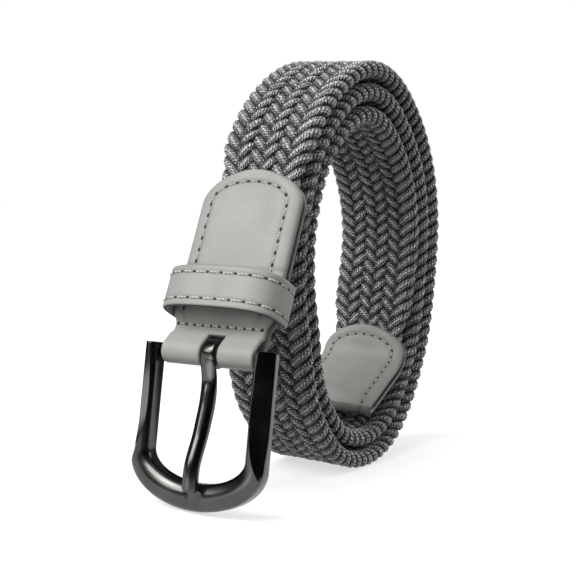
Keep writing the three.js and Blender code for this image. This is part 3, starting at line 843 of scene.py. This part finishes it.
def yarn_finish():
    """Spun elastic yarn: slanting threads of mixed light and dark grey fibre, with painted shade
    where a cord's surface is low or passes under another.
    """
    material, tree, shader = plain_finish("braid_yarn", (0.075, 0.077, 0.083), 0.7, 0.4)
    cord_place = tree.nodes.new("ShaderNodeUVMap")
    cord_place.uv_map = "UVMap"
    around, far, _ = add_node(tree, "ShaderNodeSeparateXYZ", {0: cord_place.outputs["UV"]}).outputs
    place = object_place(tree)
    wander = maths(tree, "MULTIPLY", noise(tree, place, 700), 7.0)
    slant = maths(tree, "ADD", maths(tree, "MULTIPLY_ADD", around, 34.0, wander),
                  maths(tree, "MULTIPLY", far, 74.0))
    threads = maths(tree, "MULTIPLY_ADD", maths(tree, "SINE", slant), 0.5, 0.5)
    strokes = add_node(tree, "ShaderNodeMapping",
                       {"Vector": cord_place.outputs["UV"], "Scale": (12, 30, 1)})
    fibres = noise(tree, strokes.outputs["Vector"], 1.0)
    tone = maths(tree, "MULTIPLY_ADD", threads, 0.26,
                 maths(tree, "MULTIPLY_ADD", fibres, 1.5, -0.38))
    tone = maths(tree, "MULTIPLY_ADD", noise(tree, place, 110), 0.12, tone)
    valley_shade = tree.nodes.new("ShaderNodeAttribute")
    valley_shade.attribute_name = "valley_shade"
    # The painted shade mark pulls the yarn's tone down towards black.
    tone = maths(tree, "MULTIPLY_ADD", valley_shade.outputs["Fac"], -0.6, maths(tree, "ADD", tone, 0.215))
    fill(tree, shader, {
        "Base Color": colour_ramp(tree, tone, (0.36, (0.007, 0.0075, 0.0085)),
                                  (0.66, (0.125, 0.127, 0.134)), (1.0, (0.74, 0.745, 0.76))),
        "Sheen Weight": 0.2, "Sheen Roughness": 0.45})
    bump(tree, shader, maths(tree, "MULTIPLY_ADD", fibres, 0.6, threads), 0.6, 0.0002)
    return material


yarn = yarn_finish()
for number in range(BRAID_CORDS):
    name = f"braid_cord_{number + 1:02d}"
    cord = add_piece(name, cord_mesh(name, number), yarn)
    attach(cord, "strap")
    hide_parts("braided_strap")


# The tip is the same leather, folded over the strap's free end with its arched flap on each face,
# and sewn through along its border.
TIP_HALF, TIP_ARCH, TIP_STITCH = 17.0, 11.0, 4.0
TIP_CENTRE = TIP_START + TIP_ARCH


def tip_out(along):
    """How far out the tip's plies lie: flat on the strap, and drawn in towards its end."""
    return PLY_OUT + (EDGE_OUT - PLY_OUT) * smooth((along - TIP_END + 5) / 5)


def tip_surface():
    """The tip's top and bottom grids and their marks: up one face from the arch, round the end in
    a half circle and back up the other face. The strap's own bend is in the places that the rows
    are put on."""
    arch = np.radians(np.linspace(88.5, 10, 30))
    down = np.arange(TIP_CENTRE - 1.3, TIP_END - 0.1, 0.6)
    nose = np.radians(np.linspace(0, 180, 15))
    rows = [np.stack([TIP_CENTRE - TIP_ARCH * np.sin(arch), 0 * arch + PLY_OUT,
                      TIP_HALF * np.cos(arch)], -1),
            np.stack([down, tip_out(down), 0 * down + TIP_HALF], -1),
            np.stack([TIP_END + EDGE_OUT * np.sin(nose), EDGE_OUT * np.cos(nose),
                      0 * nose + TIP_HALF], -1)]
    rows = np.concatenate(rows + [np.concatenate(rows)[::-1] * (1, -1, 1)])
    along, out, half = rows.T
    way = unit(np.gradient(rows[:, :2], axis=0))
    normal = np.stack([-way[:, 1], way[:, 0]], -1)
    share = spread_columns(61)
    across = share[None, :] * half[:, None]
    inset = arch_inset(across, TIP_CENTRE - along, half, TIP_HALF, TIP_ARCH)
    middle = pressed_in(out[:, None], np.abs(share[None, :]) ** 8)
    border = groove(inset - TIP_STITCH, STITCH_GROOVE)
    top, bottom = (on_strap(s, across, y) for s, y in both_faces(
        along, middle, normal, rounded_edge(inset), STITCH_DIP * border))
    # The second mark is painted shade along the stitch groove.
    return top, bottom, {"cut_edge": groove(inset, 0.3), "groove_shade": border}


def tip_border(side):
    """The border line on one face of the tip."""
    far, across, along = border_line(TIP_HALF - TIP_STITCH, TIP_STITCH - TIP_ARCH,
                                     np.linspace(TIP_END - 1.5, TIP_CENTRE, 120))

    def place(distance):
        x, s = np.interp(distance, far, across), np.interp(distance, far, along)
        y = pressed_in(tip_out(s), np.abs(x / TIP_HALF) ** 8) + LEATHER / 2 - BORDER_SUNK
        points = on_strap(s, x, side * y)
        return points, unit(on_strap(s, x, side * (y + 1)) - points)
    return place, far[-1]


tip = add_piece("leather_tip", leather_mesh("leather_tip", *tip_surface()), grey_leather)
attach(tip, "strap")
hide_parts("tip_leather")
for face, side in (("outer", 1), ("inner", -1)):
    border, length = tip_border(side)
    sew(f"tip_border_{face}", border, 0, length, pitch=3.6, thread=0.66, radius=0.26, lift=0.32,
        hole=(0.6, 0.4))


# The frame is a cast and polished gunmetal loop: two flat-backed arms that lean forward, a round
# foot, and a bar through the leather's fold. A long facet is cut on the outer side of each arm.
FRAME_LEAN, FRAME_ACROSS, FRAME_FORWARD, BAR_FORWARD = math.radians(6.2), -0.6, 1.8, 2.5
FRAME_HALF, FRAME_INNER_HALF, FRAME_TOP, FRAME_DEPTH = 23.0, 17.1, 2.1, 3.3
OUTER_STRAIGHT, OUTER_ROUND, INNER_STRAIGHT, INNER_ROUND = 32.8, 14.0, 29.9, 8.7
BAR_RADIUS, PRONG_ACROSS, DOME_FROM, FACET_LOW = 2.0, 0.9, 0.7, -0.9
NOTCH_HEIGHT, FOOT_FROM = 4.2, 36


def on_buckle(across, forward, down):
    """Points in the buckle's own directions, which lean forward less than the tab's."""
    across, forward, down = np.broadcast_arrays(across, forward, down)
    lean = TAB_LEAN - FRAME_LEAN
    y, z = -forward, -down
    return on_tab(across, BAR_FORWARD - (y * math.cos(lean) - z * math.sin(lean)),
                  y * math.sin(lean) + z * math.cos(lean))


def frame_outline(share):
    """Inner and outer outline points from one arm's top, 0, to the other's, 1: straight arms over
    the first and last 0.3, and half ellipses between."""
    arm = np.clip(np.minimum(share, 1 - share) / 0.3, 0, 1)
    turn = np.pi * np.clip((share - 0.3) / 0.4, 0, 1)
    lines = []
    for half, straight, bow in ((FRAME_INNER_HALF, INNER_STRAIGHT, INNER_ROUND),
                                (FRAME_HALF, OUTER_STRAIGHT, OUTER_ROUND)):
        down = -FRAME_TOP + (straight + FRAME_TOP) * arm + bow * np.sin(turn)
        lines.append(np.stack([-half * np.cos(turn), down], -1))
    return lines


def frame_section(share):
    """The section at each share, as (from inner to outer side, forward) points: flat behind, and a
    half ellipse in front. On the arms a straight facet cuts the ellipse from a ridge to the outer
    side. The ridge bows inward down the arm and runs out to the side where the foot begins."""
    arm = np.minimum(share, 1 - share)[:, None]
    ridge = np.where(arm < 0.15, 0.15 + 0.24 * ((0.15 - arm) / 0.15) ** 2,
                     0.15 + 0.83 * (np.clip(arm - 0.15, 0, 0.175) / 0.175) ** 3)
    ridge = ridge - 0.48 * smooth((arm - 0.325) / 0.09)
    low = DOME_FROM + (FACET_LOW - DOME_FROM) * (1 - smooth((arm - 0.2) / 0.125))
    rise = FRAME_DEPTH - DOME_FROM
    corner = np.arccos(2 * ridge - 1)

    def dome(angle):
        return np.stack([0.5 + 0.5 * np.cos(angle), DOME_FROM + rise * np.sin(angle)], -1)

    t = np.concatenate([[0, 0.045], np.linspace(0.1, 0.9, 12), [0.94, 1]])[None, :]
    facet = np.stack([1 + (ridge - 1) * t,
                      low + (DOME_FROM + rise * np.sin(corner) - low) * t], -1)
    shoulder = np.where((arm < 0.322)[..., None], facet, dome(corner * t))
    inner = dome(corner + (np.pi - corner) * np.concatenate([[0.03], np.linspace(0.1, 1, 10)]))
    ones = np.ones_like(ridge)
    back = [np.stack([x * ones, (y - FRAME_DEPTH) * ones], -1) for x, y in (
        (0.0, 0.5 + FRAME_DEPTH), (0.0, 0.5), (0.02, 0.15), (0.09, 0), (0.5, 0), (0.91, 0),
        (0.98, 0.15), (1, 0.45))]
    strip = np.stack([ones, low - 0.25], -1)
    return np.concatenate(back + [strip, shoulder, inner], 1)


def frame_grid():
    """The section carried along the outline. Both arm tops are cut square, with a small round, and
    a shallow notch in the foot is where the prong rests."""
    share = np.concatenate([[0, 0, 0.002, 0.006], np.linspace(0.012, 0.988, 220),
                            [0.994, 0.998, 1, 1]])
    shrink = np.ones(len(share))
    shrink[[0, -1]], shrink[[1, -2]] = 0.0, 0.93
    inner, outer = frame_outline(share)
    middle = np.array([0.5, 0.0])
    section = middle + (frame_section(share) - middle) * shrink[:, None, None]
    place = inner[:, None] + (outer - inner)[:, None] * section[..., :1]
    across, down = place[..., 0] + FRAME_ACROSS, place[..., 1]
    forward = section[..., 1] + FRAME_FORWARD
    in_foot = (down > FOOT_FROM) & (section[..., 1] > 0.4)
    beside = np.clip(np.abs(across - PRONG_ACROSS), 0, 9) / 2.5
    notch = NOTCH_HEIGHT + 0.5 * beside ** 4
    return on_buckle(across, np.where(in_foot, np.minimum(forward, notch), forward), down)


def gunmetal_finish():
    """Polished gunmetal plating: dark, warm and mirror-like, with slow clouds and fine marks in
    its gloss."""
    material, tree, shader = plain_finish("gunmetal", (0.085, 0.082, 0.080), 0.22, 0.5, 1.0)
    clouds = noise(tree, object_place(tree), 140, 6)
    gloss = add_node(tree, "ShaderNodeMapRange", {"Value": clouds, "To Min": 0.17, "To Max": 0.30})
    fill(tree, shader, {
        "Base Color": colour_ramp(tree, clouds, (0.3, (0.070, 0.068, 0.066)),
                                  (0.7, (0.094, 0.091, 0.088))),
        "Roughness": gloss.outputs[0]})
    return material


gunmetal = gunmetal_finish()
turn = ring_turns(28)[None, :]
bar_half = (FRAME_INNER_HALF + FRAME_HALF) / 2
bar = on_buckle(np.linspace(-bar_half, bar_half, 3)[:, None] + FRAME_ACROSS,
                BAR_RADIUS * np.cos(turn), BAR_RADIUS * np.sin(turn))
loop = add_piece("buckle_loop", tube_mesh("buckle_loop", frame_grid(), bar), gunmetal)
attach(loop, "frame")
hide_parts("buckle_frame")


# The prong is bent from one piece: an eye that turns on the bar, a flat neck in the leather's slot
# and a round shank that bows forward and rests in the foot's notch.
PRONG_LINE = np.array([  # down, forward, half width, half thickness
    (0.6, 3.4, 2.6, 0.95), (2.6, 3.1, 2.65, 1.1), (5.0, 2.3, 2.65, 1.2), (8.0, 1.5, 2.6, 1.5),
    (11.5, 1.3, 2.5, 2.2), (15.5, 1.6, 2.45, 2.45), (20.0, 2.6, 2.45, 2.45), (24.6, 3.8, 2.4, 2.4),
    (29.0, 5.4, 2.4, 2.4), (32.8, 6.6, 2.4, 2.4), (36.0, 6.9, 2.4, 2.4), (39.6, 6.8, 2.4, 2.4)])
PRONG_ROUND = 1.1
EYE_RADIUS, EYE_HALF, EYE_HOLE, EYE_SOFT = 4.5, 2.7, 2.35, 1.5


def prong_shank():
    """Ellipses square to a smooth line through the rows of PRONG_LINE, closed at the tip by a
    quarter round and at the top inside the eye."""
    last = len(PRONG_LINE) - 1
    t = np.linspace(0, last, 90)
    row = np.minimum(t.astype(int), last - 1)
    rows = (PRONG_LINE[np.clip(row + k, 0, last)] for k in (-1, 0, 1, 2))
    line = curve_between(*rows, (t - row)[:, None])
    cap = np.radians(np.linspace(8, 88, 9))
    end = np.repeat(line[-1:], len(cap), axis=0)
    end[:, 0] += PRONG_ROUND * np.sin(cap)
    end[:, 2:] -= PRONG_ROUND * (1 - np.cos(cap))[:, None] + (cap > 1.5)[:, None] * 0.6
    line = np.concatenate([line, end])
    way = np.gradient(line[:, :2], axis=0)
    way[-len(cap):] = (1, 0)
    way = unit(way)
    turn = ring_turns(32)[None, :]
    thick = line[:, 3:] * np.sin(turn)
    return on_buckle(PRONG_ACROSS + line[:, 2:3] * np.cos(turn),
                     line[:, 1:2] + way[:, :1] * thick, line[:, :1] - way[:, 1:] * thick)


def prong_eye():
    """The eye's section, a rounded rectangle from the hole out, turned once round the bar."""
    corner = np.radians(np.linspace(0, 90, 6))
    r = EYE_RADIUS - EYE_SOFT + EYE_SOFT * np.sin(corner)
    x = EYE_HALF - EYE_SOFT + EYE_SOFT * np.cos(corner)
    radius = np.concatenate([[EYE_HOLE], r, [EYE_RADIUS], r[::-1], [EYE_HOLE]])
    across = np.concatenate([[EYE_HALF], x, [0], -x[::-1], [-EYE_HALF]])
    turn = ring_turns(72)[:, None]
    return on_buckle(PRONG_ACROSS + across[None, :], radius * np.cos(turn), radius * np.sin(turn))


shank = add_piece("prong_shank", tube_mesh("prong_shank", prong_shank()), gunmetal)
eye = add_piece("prong_eye", tube_mesh("prong_eye", prong_eye(), closed=True), gunmetal)
for piece in (shank, eye):
    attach(piece, "prong")
    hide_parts("buckle_prong")
